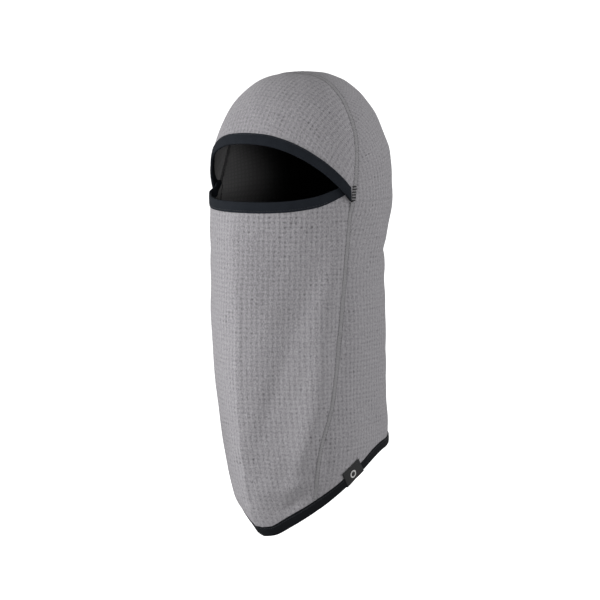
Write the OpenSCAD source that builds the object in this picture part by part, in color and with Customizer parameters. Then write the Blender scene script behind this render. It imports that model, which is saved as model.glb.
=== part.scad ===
// Balaclava: a close-fitting hood for skiing, cut from stretch grid fleece.
// The wearer faces -Y and the wearer's left is +X. The origin is the middle
// of the head, level with the corners of the eye opening.
// Every soft piece is a thin shell laid along one hood surface, so pieces
// that are sewn together follow each other exactly.

/* [Head] */
// Width of the hood across the temples
head_w = 160; // [150:1:170]
// Depth from the middle of the head to the brow
brow_d = 94; // [88:1:100]
// Depth from the middle of the head to the back
back_d = 97; // [90:1:104]
// Height of the crown above the middle of the head
crown_h = 118; // [112:1:124]

/* [Neck] */
// Depth of the front tip of the hem below the middle of the head
hem_tip = 314; // [305:1:322]
// Depth of the hem at the back below the middle of the head
hem_nape = 240; // [232:1:248]

/* [Eye opening] */
// Height of the free edge of the brow tape at the centre
brow_edge = 53; // [48:1:58]
// Height of the middle of the nose tape at the centre
nose_mid = -4.2; // [-8:0.1:-2]
// Rise of the nose tape from the centre to the corners
nose_rise = 14.6; // [12:0.1:16]
// Width of the tape round the eye opening
eye_tape_w = 10; // [8:0.5:11]

/* [Cloth] */
// Thickness of the fleece
fleece_t = 1.2; // [0.8:0.1:1.6]
// Thickness of one layer of binding tape
tape_t = 0.7; // [0.5:0.1:0.8]
// Width of the hem tape
hem_tape_w = 8.5; // [7:0.5:10]
// Width of a flat seam
seam_w = 5; // [4:0.5:6]
// Height of the thread on a flat seam
thread_t = 0.4; // [0.3:0.1:0.6]

/* [Labels] */
// Length of the hem label along the hem
label_l = 22.5; // [16:1:28]
// Height of the hem label above the hem tape
label_rise = 6.4; // [3:0.5:6]
// Width of the care label
care_w = 28; // [20:1:34]
// Length of the care label
care_l = 42; // [30:1:50]

/* [Hidden] */

head_r = head_w / 2;
dome_n = 2.3;          // roundness of the dome, 2 is an ellipse
crease_soft = 8;       // softness of the centre-front crease, degrees
rad = 180 / PI;

// How the hood changes below the head: [height, share of the size at the head]
front_shape = [[-350, 0.36], [-312, 0.63], [-280, 0.82], [-240, 0.95], [-180, 1.04],
               [-120, 1.06], [-60, 1.03], [0, 1]];
back_shape = [[-350, 1.18], [-240, 1.13], [-180, 0.98], [-120, 0.86], [-60, 0.79],
              [-25, 0.895], [-9, 0.98], [0, 1]];
side_shape = [[-350, 0.62], [-300, 0.71], [-240, 0.82], [-180, 0.9], [-120, 0.96],
              [-60, 0.985], [0, 1]];
crease_shape = [[-350, 0.5], [-200, 0.38], [-120, 0.3], [-50, 0.12], [0, 0]];

// Line of the side seam: [height, angle from the centre front]
seam_line = [[-330, 50], [-280, 52], [-232, 55.8], [-195, 62.2], [-160, 64.8],
             [-110, 67], [-60, 69.6], [-15, 72.5], [0, 74.6], [20, 76]];
// Line of the hem: [angle from the centre front, share of the front's extra drop]
hem_line = [[0, 1], [14, 0.965], [30, 0.84], [60, 0.58], [90, 0.27], [105, 0.08],
            [120, 0], [180, 0]];

brow_end = 73;         // angle where the brow tape meets the seam
brow_low_end = 73.2;   // angles where the tape's edges would meet the level of the corners
brow_high_end = 81;
brow_power = 2.4;
hinge_phi = 69.5;      // angle of the ends of the nose tape
nose_power = 3.1;
tuck_from = 50;        // angles between which the nose tape dips under the brow tape
tuck_to = 63;
half_tape = eye_tape_w / 2;
end_r = 4.5;           // radius of the round ends of the nose tape
tuck_d = 5;            // how far the nose tape dips under the brow tape
fleece_o = fleece_t / 2;
edge_gap = 0.4;        // from a seam's centre line to the panel's edge
sewn_gap = 0.2;        // between pieces sewn together, so that their facets stay apart
free_gap = 0.4;        // between the nose tape and what it moves against
stitch_t = 0.3;        // height of the stitches on a tape
stitch_low = 0.78;     // the edges of their row, as shares of the tape's width
stitch_high = 0.88;
seam_turn = seam_w / 2 / brow_d * rad;
gap_turn = edge_gap / brow_d * rad;

fleece_colour = "darkgray";
tape_colour = [0.13, 0.15, 0.19];
thread_colour = "dimgray";

// ---- smooth curves through a few chosen values ----

function clamp(x, lo, hi) = min(max(x, lo), hi);
function mix(a, b, t) = a * (1 - t) + b * t;
function ease(lo, hi, x) = let (t = clamp((x - lo) / (hi - lo), 0, 1)) t * t * (3 - 2 * t);
function key_slope(keys, i) =
    let (lo = max(i - 1, 0), hi = min(i + 1, len(keys) - 1))
    (keys[hi][1] - keys[lo][1]) / (keys[hi][0] - keys[lo][0]);
function key_place(keys, x, i = 0) =
    i >= len(keys) - 2 || x < keys[i + 1][0] ? i : key_place(keys, x, i + 1);
// value of a smooth curve through the keys, at x
function smooth(keys, at) =
    let (x = clamp(at, keys[0][0], keys[len(keys) - 1][0]),
         i = key_place(keys, x),
         h = keys[i + 1][0] - keys[i][0],
         t = (x - keys[i][0]) / h)
    (2 * t^3 - 3 * t^2 + 1) * keys[i][1] + (t^3 - 2 * t^2 + t) * h * key_slope(keys, i)
    + (3 * t^2 - 2 * t^3) * keys[i + 1][1] + (t^3 - t^2) * h * key_slope(keys, i + 1);

// ---- the hood surface ----

function dome_share(z) = z > 0 ? pow(1 - pow(min(z / crown_h, 1), dome_n), 1 / dome_n) : 1;
// the same angle, from -180 to 180
function wrapped(phi) = phi - 360 * round(phi / 360);
// outline of the front: round, or drawn to a soft crease at the centre
function crease_fall(a) = (sqrt(a^2 + crease_soft^2) - crease_soft)
    / (sqrt(90^2 + crease_soft^2) - crease_soft);
function front_depth(phi, k) = (1 - k) * cos(phi) + k * (1 - crease_fall(abs(phi)));
// a point of the hood at an angle from the centre front and a height
function hood(phi, z) =
    let (r = dome_share(z), low = min(z, 0))
    [head_r * smooth(side_shape, low) * r * sin(phi),
     cos(phi) > 0
        ? -brow_d * smooth(front_shape, low) * r * front_depth(wrapped(phi), smooth(crease_shape, low))
        : -back_d * smooth(back_shape, low) * r * cos(phi),
     z];
// a point of the hood in a direction from the middle of the head
function hood_towards(d) =
    hood(atan2(d.x, -d.y), sign(d.z) * crown_h * pow(abs(d.z), 2 / dome_n));
function unit(v) = v / norm(v);
function direction(phi, z) =
    let (s = pow(max(z, 0) / crown_h, dome_n / 2))
    [sqrt(1 - s^2) * sin(phi), -sqrt(1 - s^2) * cos(phi), s];

// ---- lines that the pieces share ----

function brow_low(phi) = brow_edge * (1 - pow(abs(phi) / brow_low_end, brow_power));
function brow_high(phi) =
    (brow_edge + eye_tape_w + 0.5) * (1 - pow(abs(phi) / brow_high_end, brow_power));
function nose_line(phi) = nose_mid + nose_rise * pow(abs(phi) / hinge_phi, nose_power);
function hem_z(phi) = -hem_nape - (hem_tip - hem_nape) * smooth(hem_line, abs(wrapped(phi)));
// length along the hood of one degree of angle
function arc_rate(phi, z) = norm(hood(phi + 1, z) - hood(phi - 1, z)) / 2;
function hem_slope(phi) = (hem_z(phi + 1) - hem_z(phi - 1)) / 2 / arc_rate(phi, hem_z(phi));
// height of the hem tape, so that its width is the same where the hem slopes
function hem_rise(phi) = hem_tape_w * sqrt(1 + hem_slope(phi)^2);
function side_phi(z) = smooth(seam_line, z);
// direction of the crown seam, side = -90 at the right ear to 90 at the left,
// turned back by some degrees
function crown_seam_dir(side, back = 0) =
    let (t = asin(0.08 + 0.1856 * pow(1 - cos(side), 2)) - back)
    [cos(t) * sin(side), -sin(t), cos(t) * cos(side)];

// ---- patches: functions of (along, across), each from 0 to 1 ----

edge_in = 1.5;         // from a tape's fold to the edge of the panel inside it
crown_low_end = 71.5;  // ends of the crown panel's lower and upper edges, degrees
crown_high_end = 88.3;
crown_patch = function (t, v)
    let (a = 2 * t - 1,
         phi = a * crown_low_end,
         low = direction(phi, brow_low(phi) + edge_in),
         high = crown_seam_dir(a * crown_high_end, -gap_turn))
    hood_towards(unit(mix(low, high, v)));

// the face panel's top edge lies in the fold of the nose tape, and passes
// below the tape where the tape goes under the brow tape
drop_from = 42;        // angles between which the edge leaves the tape
drop_to = 48;
face_middle = 66;      // a typical angle of the side seam
function face_top(phi) =
    nose_line(phi) + mix(half_tape - 2, -half_tape - 0.8, ease(drop_from, drop_to, abs(phi)));
function face_z(phi, v) = mix(min(face_top(phi), brow_low(phi) - 1), hem_z(phi) + edge_in, v);
face_patch = function (t, v)
    let (a = 2 * t - 1,
         guess = face_z(a * face_middle, v),
         near = face_z(a * side_phi(guess), v),
         phi = a * (side_phi(near) - gap_turn))
    hood(phi, face_z(phi, v));

// the back panel runs from the crown seam and side seam to the centre back
dome_part = 0.36;      // share of the panel's length that lies on the dome
dome_start = 0.035;    // where the first row lies, so that it has some length
dome_top = 94.6;       // angle of the top of the centre-back seam above the back
row_bow = 0.16;        // how far the middle of a row on the dome is bowed out
function slide(a, b, t) = unit(mix(a, b, t) + row_bow * sin(180 * t) * unit(a + b));
back_patch = function (t, v)
    v < dome_part
    ? let (w = mix(dome_start, 1, v / dome_part),
           a = crown_seam_dir(90 * w, gap_turn),
           up = dome_top * (1 - w),
           b = unit([edge_gap / head_r, cos(up), sin(up)]))
      hood_towards(slide(a, b, t))
    : let (w = (v - dome_part) / (1 - dome_part),
           guess = mix(0, hem_z(mix(60, 180, t)) + edge_in, w),
           phi = mix(side_phi(guess) + gap_turn, 180 - gap_turn, t))
      hood(phi, mix(0, hem_z(phi) + edge_in, w));

brow_patch = function (t, s)
    let (phi = (2 * t - 1) * brow_end)
    hood(phi, mix(brow_low(phi), brow_high(phi), s));
// the ends of the nose tape are half rounds about the hinge line
nose_turn = end_r / brow_d * rad;
nose_last = hinge_phi + 0.95 * nose_turn;
round_from = 56;       // angle where the tape starts to narrow to its end
nose_patch = function (t, s)
    let (phi = (2 * t - 1) * nose_last,
         past = max(abs(phi) - hinge_phi, 0) / nose_turn,
         narrowed = mix(half_tape, end_r, ease(round_from, hinge_phi, abs(phi))),
         half = narrowed * sqrt(1 - min(past, 0.99)^2))
    hood(phi, nose_line(phi) + half * (1 - 2 * s));
nose_dip = function (t) -tuck_d * ease(tuck_from, tuck_to, abs(2 * t - 1) * nose_last);
// the hem tape starts and ends at the centre back
hem_patch = function (t, s)
    let (phi = 360 * t - 180)
    hood(phi, hem_z(phi) + hem_rise(phi) * s);

// each seam stops just short of the piece that it runs into
seam_stop = 0.5;       // that distance
seam_last = 89.6;      // the same on the dome, degrees
crown_seam_patch = function (t, s)
    hood_towards(crown_seam_dir(mix(-seam_last, seam_last, t), (1 - 2 * s) * seam_turn));
function side_seam_patch(side) = function (t, s)
    let (turn = (2 * s - 1) * seam_turn,
         low = side_phi(hem_z(side_phi(-hem_nape))) + turn,
         z = mix(-seam_stop, hem_z(low) + hem_rise(low) + seam_stop, t))
    hood(side * (side_phi(z) + turn), z);
back_seam_top = 93;    // angle of its top above the back
// the first half of the centre-back seam is on the dome, the second half below it
centre_back_patch = function (t, s)
    let (turn = (2 * s - 1) * seam_turn, up = back_seam_top * (1 - 2 * t))
    up > 0
    ? hood_towards(unit([sin(turn), cos(up), sin(up)]))
    : hood(180 - turn, mix(0, hem_z(180) + hem_rise(180) + seam_stop, 2 * t - 1));

label_phi = 88;        // angle of the middle of the hem label
label_room = 1;        // between the label and the stitching on both sides of it, degrees
label_lean = atan(hem_slope(label_phi));
label_rate = arc_rate(label_phi, hem_z(label_phi));
label_turn = label_l / 2 * cos(label_lean) / label_rate;
// the stitching on the hem stops here, where the label leans over it
label_shift = stitch_high * hem_tape_w * sin(label_lean) / label_rate;
label_start = (180 + label_phi - label_shift - label_turn - label_room) / 360;
label_end = (180 + label_phi - label_shift + label_turn + label_room) / 360;
// the label stands square to the hem
label_patch = function (t, s)
    let (phi = mix(label_phi - label_turn, label_phi + label_turn, t),
         across = s * hem_tape_w)
    hood(phi - across * sin(label_lean) / label_rate, hem_z(phi) + across * cos(label_lean));

// ---- solids ----

// outward normal of a patch, from its own slopes
function patch_normal(patch, t, s) =
    let (e = 0.004,
         s0 = clamp(s, 0.02, 0.98) - e, s1 = clamp(s, 0.02, 0.98) + e,
         n = unit(cross(patch(t + e, s) - patch(t - e, s), patch(t, s1) - patch(t, s0))),
         p = patch(t, s))
    n * ([p.x, p.y, max(p.z, 0)] * n < 0 ? -1 : 1);
function lift(patch, t, s, o) = patch(t, s) + o * patch_normal(patch, t, s);

// A solid swept along a patch. Each pair is one step across it, from its upper
// face to its lower face: [across, offset, across, offset].
module swept(patch, pairs, n, dip = function (t) 0, loop = false) {
    m = len(pairs);
    rings = loop ? n : n + 1;
    points = [
        for (i = [0:rings - 1], side = [0, 1], k = [0:m - 1])
            let (t = i / n, p = pairs[k])
            lift(patch, t, p[2 * side], p[2 * side + 1] + dip(t))
    ];
    function at(i, side, k) = (i % rings) * 2 * m + side * m + k;
    function quad(a, b, c, d) = [[a, b, c], [a, c, d]];
    sides = [
        for (i = [0:n - 1], k = [0:m - 2], side = [0, 1])
            let (q = quad(at(i, side, k), at(i, side, k + 1),
                          at(i + 1, side, k + 1), at(i + 1, side, k)))
            for (f = q) side == 0 ? f : [f[2], f[1], f[0]]
    ];
    rims = [
        for (i = [0:n - 1], k = [0, m - 1])
            let (q = quad(at(i, 0, k), at(i + 1, 0, k), at(i + 1, 1, k), at(i, 1, k)))
            for (f = q) k == 0 ? f : [f[2], f[1], f[0]]
    ];
    caps = loop ? [] : [
        for (i = [0, n], k = [0:m - 2])
            let (q = quad(at(i, 0, k), at(i, 1, k), at(i, 1, k + 1), at(i, 0, k + 1)))
            for (f = q) i == 0 ? f : [f[2], f[1], f[0]]
    ];
    polyhedron(points, concat(sides, rims, caps), convexity = 10);
}

// pairs of a flat strip from one offset to another
function flat(n, low, high, from = 0, to = 1) =
    [for (k = [0:n]) let (s = mix(from, to, k / n)) [s, high, s, low]];
// pairs of a tape folded over an edge at s = 0, with room inside for the cloth
function folded(gap, over = 1, nose = -0.08) =
    let (a = fleece_o + gap, b = a + tape_t, lip = 0.07)
    [[over, b, over, a], [over / 2, b, over / 2, a], [0, b, lip, a], [nose, b / 2, lip, a / 2],
     [nose, -b / 2, lip, -a / 2], [0, -b, lip, -a], [over / 2, -b, over / 2, -a],
     [over, -b, over, -a]];
module panel(patch, steps) {
    swept(patch, flat(steps[1], -fleece_o, fleece_o), steps[0]);
}

// ---- sub-parts ----

// steps along and across each panel, and along each tape and seam
crown_steps = [32, 14];
face_steps = [36, 28];
back_steps = [20, 44];
eye_tape_steps = 44;
hem_steps = 96;
crown_seam_steps = 44;
side_seam_steps = 28;
back_seam_steps = 48;

module crown_panel() {
    color(fleece_colour) panel(crown_patch, crown_steps);
}
module face_panel() {
    color(fleece_colour) panel(face_patch, face_steps);
}
module back_panel_left() {
    color(fleece_colour) panel(back_patch, back_steps);
}
module back_panel_right() {
    color(fleece_colour) mirror([1, 0, 0]) panel(back_patch, back_steps);
}
module brow_binding() {
    color(tape_colour) swept(brow_patch, folded(sewn_gap), eye_tape_steps);
}
module nose_binding() {
    color(tape_colour) swept(nose_patch, folded(free_gap), eye_tape_steps, nose_dip);
}
module hem_binding() {
    color(tape_colour) swept(hem_patch, folded(sewn_gap), hem_steps, loop = true);
}

// a flat seam: a band of thread over the two panels and one under them
module flat_seam(patch, along) {
    a = fleece_o + sewn_gap;
    color(thread_colour) {
        swept(patch, flat(1, a, a + thread_t), along);
        swept(patch, flat(1, -a - thread_t, -a), along);
    }
}
module crown_seam() {
    flat_seam(crown_seam_patch, crown_seam_steps);
}
module side_seam_left() {
    flat_seam(side_seam_patch(1), side_seam_steps);
}
module side_seam_right() {
    flat_seam(side_seam_patch(-1), side_seam_steps);
}
module centre_back_seam() {
    flat_seam(centre_back_patch, back_seam_steps);
}

// a row of stitches along a tape, close to the edge that is sewn down
module stitch_row(patch, along, gap, from, to, loop = false) {
    a = fleece_o + gap + tape_t + sewn_gap;
    row = function (t, s) patch(mix(from, to, t), s);
    pairs = flat(1, a, a + stitch_t, stitch_low, stitch_high);
    color(tape_colour) swept(row, pairs, along, loop = loop);
}
module brow_binding_stitching() {
    stitch_row(brow_patch, eye_tape_steps, sewn_gap, 0.01, 0.99);
}
module nose_binding_stitching() {
    stitch_row(nose_patch, eye_tape_steps, free_gap, 0.12, 0.88);
}
module hem_binding_stitching() {
    stitch_row(hem_patch, hem_steps, sewn_gap, label_end, label_start + 1);
}

// close stitches that hold the ends of both tapes to the seam
tack_low = 1;          // heights of their ends
tack_high = 14;
module corner_bartack(side) {
    tack = function (t, s)
        let (z = mix(tack_low, tack_high, t))
        hood(side * (side_phi(z) + (2 * s - 1) * seam_turn * 0.7), z);
    a = fleece_o + thread_t + 2 * sewn_gap;
    color(thread_colour) swept(tack, flat(1, a, a + thread_t), 5);
}
module corner_bartack_left() {
    corner_bartack(1);
}
module corner_bartack_right() {
    corner_bartack(-1);
}

// the label is folded round the hem tape
label_t = 0.5;         // thickness of the label
label_top = 1 + label_rise / hem_tape_w;
label_row = 0.04;      // width of a row of stitches on it, as a share of its length
module hem_label() {
    a = fleece_o + tape_t + 2 * sewn_gap;
    b = a + label_t;
    pairs = [[label_top, b, label_top, a], [0.5, b, 0.5, a], [0, b, -0.01, a],
             [-0.16, b / 2, -0.1, a / 2], [-0.16, -b / 2, -0.1, -a / 2], [0, -b, -0.01, -a],
             [0.5, -b, 0.5, -a], [label_top, -b, label_top, -a]];
    color("black") swept(label_patch, pairs, 6);
}
module hem_label_stitching() {
    a = fleece_o + tape_t + label_t + 3 * sewn_gap;
    row = function (from) function (t, s)
        label_patch(mix(from, from + label_row, s), mix(0.1, label_top - 0.08, t));
    color("black")
        for (from = [label_row, 1 - 2 * label_row])
            swept(row(from), flat(1, a, a + stitch_t), 6);
}
// the care label lies inside, caught in the centre-back seam
care_top = -150;       // height of its upper edge
care_t = 0.4;          // its thickness
module care_label() {
    turn = care_w / head_r * rad;
    lay = function (t, s) hood(180 - turn * s, care_top - care_l * t);
    a = fleece_o + thread_t + 2 * sewn_gap;
    color("white") swept(lay, flat(4, -a - care_t, -a), 5);
}

crown_panel();
face_panel();
back_panel_left();
back_panel_right();
brow_binding();
nose_binding();
hem_binding();
crown_seam();
side_seam_left();
side_seam_right();
centre_back_seam();
brow_binding_stitching();
nose_binding_stitching();
hem_binding_stitching();
corner_bartack_left();
corner_bartack_right();
hem_label();
hem_label_stitching();
care_label();
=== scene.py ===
import math

import bpy
import numpy as np
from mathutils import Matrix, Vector


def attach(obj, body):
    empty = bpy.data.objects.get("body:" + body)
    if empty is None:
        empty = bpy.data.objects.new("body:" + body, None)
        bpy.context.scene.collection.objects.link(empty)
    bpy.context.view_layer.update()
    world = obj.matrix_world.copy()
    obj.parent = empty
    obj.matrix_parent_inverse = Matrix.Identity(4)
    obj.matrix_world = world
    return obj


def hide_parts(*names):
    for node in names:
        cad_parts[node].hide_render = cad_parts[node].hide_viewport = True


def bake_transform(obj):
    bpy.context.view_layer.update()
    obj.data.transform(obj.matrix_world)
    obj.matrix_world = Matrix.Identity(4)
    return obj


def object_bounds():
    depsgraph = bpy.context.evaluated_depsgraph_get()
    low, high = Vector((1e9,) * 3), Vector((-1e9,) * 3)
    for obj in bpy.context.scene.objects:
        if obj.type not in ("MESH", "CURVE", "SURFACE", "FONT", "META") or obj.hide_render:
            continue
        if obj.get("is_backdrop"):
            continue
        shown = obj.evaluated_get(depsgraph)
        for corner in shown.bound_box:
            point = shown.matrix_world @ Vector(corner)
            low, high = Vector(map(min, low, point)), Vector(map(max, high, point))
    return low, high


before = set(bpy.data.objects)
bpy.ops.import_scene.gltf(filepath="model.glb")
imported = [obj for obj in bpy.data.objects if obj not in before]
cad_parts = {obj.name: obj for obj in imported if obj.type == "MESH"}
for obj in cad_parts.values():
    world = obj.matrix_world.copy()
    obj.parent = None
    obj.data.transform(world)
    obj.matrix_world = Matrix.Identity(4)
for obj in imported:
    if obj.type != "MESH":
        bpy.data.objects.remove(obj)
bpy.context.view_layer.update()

# The balaclava's looks. Every piece lies along one hood surface, in millimetres and degrees.
# The sizes have the CAD source's names and values, unless a comment gives the CAD's value.
# The folds, ripples and the rolled hem are only here: the CAD's surface is smooth.

# ---- sizes, mm

HEAD_R = 80
BROW_D = 94
BACK_D = 97
CROWN_H = 118
HEM_TIP = 314
HEM_NAPE = 240
BROW_EDGE = 53
NOSE_MID = -4.2
NOSE_RISE = 14.6
EYE_TAPE_W = 10
FLEECE_O = 0.6
TAPE_T = 0.7
HEM_TAPE_W = 8.5
SEAM_W = 5
LABEL_L = 22.5
LABEL_RISE = 6.4
CARE_W = 28
CARE_L = 42

DOME_N = 2.3
CREASE_SOFT = 8
RAD = 180 / math.pi
FRONT_SHAPE = [(-350, 0.36), (-312, 0.63), (-280, 0.82), (-240, 0.95), (-180, 1.04),
               (-120, 1.06), (-60, 1.03), (0, 1)]
BACK_SHAPE = [(-350, 1.18), (-240, 1.13), (-180, 0.98), (-120, 0.86), (-60, 0.79),
              (-25, 0.895), (-9, 0.98), (0, 1)]
SIDE_SHAPE = [(-350, 0.62), (-300, 0.71), (-240, 0.82), (-180, 0.9), (-120, 0.96),
              (-60, 0.985), (0, 1)]
CREASE_SHAPE = [(-350, 0.5), (-200, 0.38), (-120, 0.3), (-50, 0.12), (0, 0)]
SEAM_LINE = [(-330, 50), (-280, 52), (-232, 55.8), (-195, 62.2), (-160, 64.8),
             (-110, 67), (-60, 69.6), (-15, 72.5), (0, 74.6), (20, 76)]
HEM_LINE = [(0, 1), (14, 0.965), (30, 0.84), (60, 0.58), (90, 0.27), (105, 0.08),
            (120, 0), (180, 0)]

BROW_END = 73
BROW_POWER = 2.4
HINGE_PHI = 69.5
NOSE_POWER = 3.1
HALF_TAPE = EYE_TAPE_W / 2
END_R = 4.5
EDGE_IN = 2.4            # from a tape's fold to the edge of the cloth inside it; CAD: 1.5
EDGE_GAP = 0.4           # from a seam's centre line to the panel's edge
TUCK_D = 4.2             # how deep the mask's corner sits under the brow tape; CAD: 5
SEAM_TURN = SEAM_W / 2 / BROW_D * RAD
GAP_TURN = EDGE_GAP / BROW_D * RAD

PIT_U = 4.9              # pitch of the fleece's grid across and down
PIT_W = 4.4
PIT_D = 0.09             # depth of the modelled part of a pit
PIT_SPREAD = 1.1         # how wide it is, as its squared radius

OVER_CLOTH = FLEECE_O + 0.03          # where a tape or the label starts
COARSE = 3                            # outer steps of a panel to one inner step

# ---- small helpers


def mix(a, b, t):
    return a * (1 - t) + b * t


def ease(low, high, x):
    t = np.clip((x - low) / (high - low), 0, 1)
    return t * t * (3 - 2 * t)


def sind(a):
    return np.sin(np.radians(a))


def cosd(a):
    return np.cos(np.radians(a))


def smooth(keys, at):
    """Value of a smooth curve through the keys."""
    x, y = np.array(keys, float).T
    slope = np.gradient(y)
    slope[1:-1] = (y[2:] - y[:-2]) / (x[2:] - x[:-2])
    slope[0] = (y[1] - y[0]) / (x[1] - x[0])
    slope[-1] = (y[-1] - y[-2]) / (x[-1] - x[-2])
    at = np.clip(at, x[0], x[-1])
    i = np.clip(np.searchsorted(x, at, "right") - 1, 0, len(x) - 2)
    h = x[i + 1] - x[i]
    t = (at - x[i]) / h
    return ((2 * t**3 - 3 * t**2 + 1) * y[i] + (t**3 - 2 * t**2 + t) * h * slope[i]
            + (3 * t**2 - 2 * t**3) * y[i + 1] + (t**3 - t**2) * h * slope[i + 1])


def points(x, y, z):
    return np.stack(np.broadcast_arrays(x, y, z), -1).astype(float)


def unit(v):
    return v / np.maximum(np.linalg.norm(v, axis=-1, keepdims=True), 1e-9)


def wrapped(phi):
    return phi - 360 * np.round(phi / 360)


# ---- the hood surface


def dome_share(z):
    return (1 - np.clip(z / CROWN_H, 0, 1) ** DOME_N) ** (1 / DOME_N)


def front_depth(phi, k):
    fall = np.sqrt(phi**2 + CREASE_SOFT**2) - CREASE_SOFT
    return (1 - k) * cosd(phi) + k * (1 - fall / (math.hypot(90, CREASE_SOFT) - CREASE_SOFT))


def hood(phi, z):
    r = dome_share(z)
    low = np.minimum(z, 0)
    crease = front_depth(wrapped(phi), smooth(CREASE_SHAPE, low))
    front = -BROW_D * smooth(FRONT_SHAPE, low) * r * crease
    back = -BACK_D * smooth(BACK_SHAPE, low) * r * cosd(phi)
    across = HEAD_R * smooth(SIDE_SHAPE, low) * r * sind(phi)
    return points(across, np.where(cosd(phi) > 0, front, back), z)


def hood_towards(d):
    up = d[..., 2]
    return hood(np.degrees(np.arctan2(d[..., 0], -d[..., 1])),
                np.sign(up) * CROWN_H * np.abs(up) ** (2 / DOME_N))


def direction(phi, z):
    s = (np.maximum(z, 0) / CROWN_H) ** (DOME_N / 2)
    flat = np.sqrt(1 - s**2)
    return points(flat * sind(phi), -flat * cosd(phi), s)


def direction_of(p):
    """The direction that hood_towards would give this point of the dome."""
    depth = np.where(p[..., 1] > 0, BACK_D, BROW_D)
    phi = np.degrees(np.arctan2(p[..., 0] / HEAD_R, -p[..., 1] / depth))
    return direction(phi, np.minimum(p[..., 2], CROWN_H))


def angle_of(p):
    """Angle from the centre front of a point of the hood."""
    across = HEAD_R * smooth(SIDE_SHAPE, np.minimum(p[..., 2], 0)) * dome_share(p[..., 2])
    phi = np.degrees(np.arcsin(np.clip(p[..., 0] / np.maximum(across, 1e-6), -1, 1)))
    return wrapped(np.where(p[..., 1] > 0, 180 - phi, phi))


def brow_low(phi):
    return BROW_EDGE * (1 - (np.abs(phi) / 73.2) ** BROW_POWER)


def brow_high(phi):
    return (BROW_EDGE + EYE_TAPE_W + 0.5) * (1 - (np.abs(phi) / 81) ** BROW_POWER)


def nose_line(phi):
    return NOSE_MID + NOSE_RISE * (np.abs(phi) / HINGE_PHI) ** NOSE_POWER


def hem_z(phi):
    return -HEM_NAPE - (HEM_TIP - HEM_NAPE) * smooth(HEM_LINE, np.abs(wrapped(phi)))


def arc_rate(phi, z):
    return np.linalg.norm(hood(phi + 1, z) - hood(phi - 1, z), axis=-1) / 2


def hem_slope(phi):
    return (hem_z(phi + 1) - hem_z(phi - 1)) / 2 / arc_rate(phi, hem_z(phi))


def hem_rise(phi):
    return HEM_TAPE_W * np.sqrt(1 + hem_slope(phi) ** 2)


def side_phi(z):
    return smooth(SEAM_LINE, z)


def crown_tilt(side):
    """How far the crown seam leans forward of straight up, at an angle to the side."""
    return np.degrees(np.arcsin(0.08 + 0.1856 * (1 - cosd(side)) ** 2))


def crown_seam_dir(side, back=0):
    t = crown_tilt(side) - back
    return points(cosd(t) * sind(side), -sind(t), cosd(t) * cosd(side))


# ---- patches, (along, across)


def crown_patch(t, v):
    a = 2 * t - 1
    phi = a * 71.5
    low = direction(phi, brow_low(phi) + EDGE_IN)
    high = crown_seam_dir(a * 88.3, -GAP_TURN)
    return hood_towards(unit(mix(low, high, v[..., None])))


def face_top(phi):
    return nose_line(phi) + HALF_TAPE - 2


def face_z(phi, v):
    return mix(np.minimum(face_top(phi), brow_high(phi) - 2), hem_z(phi) + EDGE_IN, v)


def face_patch(t, v):
    a = 2 * t - 1
    guess = face_z(a * 66, v)
    near = face_z(a * side_phi(guess), v)
    phi = a * (side_phi(near) - GAP_TURN)
    return hood(phi, face_z(phi, v))


DOME_PART = 0.36


def slide(a, b, t):
    t = t[..., None]
    return unit(mix(a, b, t) + 0.16 * sind(180 * t) * unit(a + b))


def back_patch(t, v):
    w = mix(0.035, 1, np.clip(v / DOME_PART, 0, 1))
    up = 94.6 * (1 - w)
    b = unit(points(EDGE_GAP / HEAD_R, cosd(up), sind(up)))
    on_dome = hood_towards(slide(crown_seam_dir(90 * w, GAP_TURN), b, t))
    w = np.clip((v - DOME_PART) / (1 - DOME_PART), 0, 2)
    guess = w * (hem_z(mix(60, 180, t)) + EDGE_IN)
    phi = mix(side_phi(guess) + GAP_TURN, 180 - GAP_TURN, t)
    below = hood(phi, w * (hem_z(phi) + EDGE_IN))
    return np.where((v < DOME_PART)[..., None], on_dome, below)


def brow_patch(t, s):
    phi = (2 * t - 1) * BROW_END
    return hood(phi, mix(brow_low(phi), brow_high(phi), s))


NOSE_TURN = END_R / BROW_D * RAD
NOSE_LAST = HINGE_PHI + 0.95 * NOSE_TURN


def nose_patch(t, s):
    phi = (2 * t - 1) * NOSE_LAST
    past = np.maximum(np.abs(phi) - HINGE_PHI, 0) / NOSE_TURN
    half = mix(HALF_TAPE, END_R, ease(56, HINGE_PHI, np.abs(phi)))
    half = half * np.sqrt(1 - np.minimum(past, 0.99) ** 2)
    return hood(phi, nose_line(phi) + half * (1 - 2 * s))


def nose_dip(p):
    """How far the corner of the mask lies under the brow tape, at a point near the nose tape."""
    phi = angle_of(p)
    near = ease(-16, 2, p[..., 2] - nose_line(phi) + HALF_TAPE)
    return -TUCK_D * ease(51, 63, np.abs(phi)) * near


def hem_patch(t, s):
    phi = 360 * t - 180
    return hood(phi, hem_z(phi) + hem_rise(phi) * s)


def crown_seam_patch(t, s):
    return hood_towards(crown_seam_dir(mix(-89.6, 89.6, t), (1 - 2 * s) * SEAM_TURN))


def side_seam_patch(side):
    def patch(t, s):
        turn = (2 * s - 1) * SEAM_TURN
        low = side_phi(hem_z(side_phi(-HEM_NAPE))) + turn
        z = mix(-0.5, hem_z(low) + hem_rise(low) - 1, t)
        return hood(side * (side_phi(z) + turn), z)
    return patch


def centre_back_patch(t, s):
    turn = (2 * s - 1) * SEAM_TURN
    up = 93 * (1 - 2 * t)
    on_dome = hood_towards(unit(points(sind(turn), cosd(up), sind(np.maximum(up, 0)))))
    below = hood(180 - turn, (hem_z(180) + hem_rise(180) - 1) * np.clip(2 * t - 1, 0, 2))
    return np.where((up > 0)[..., None], on_dome, below)


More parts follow.
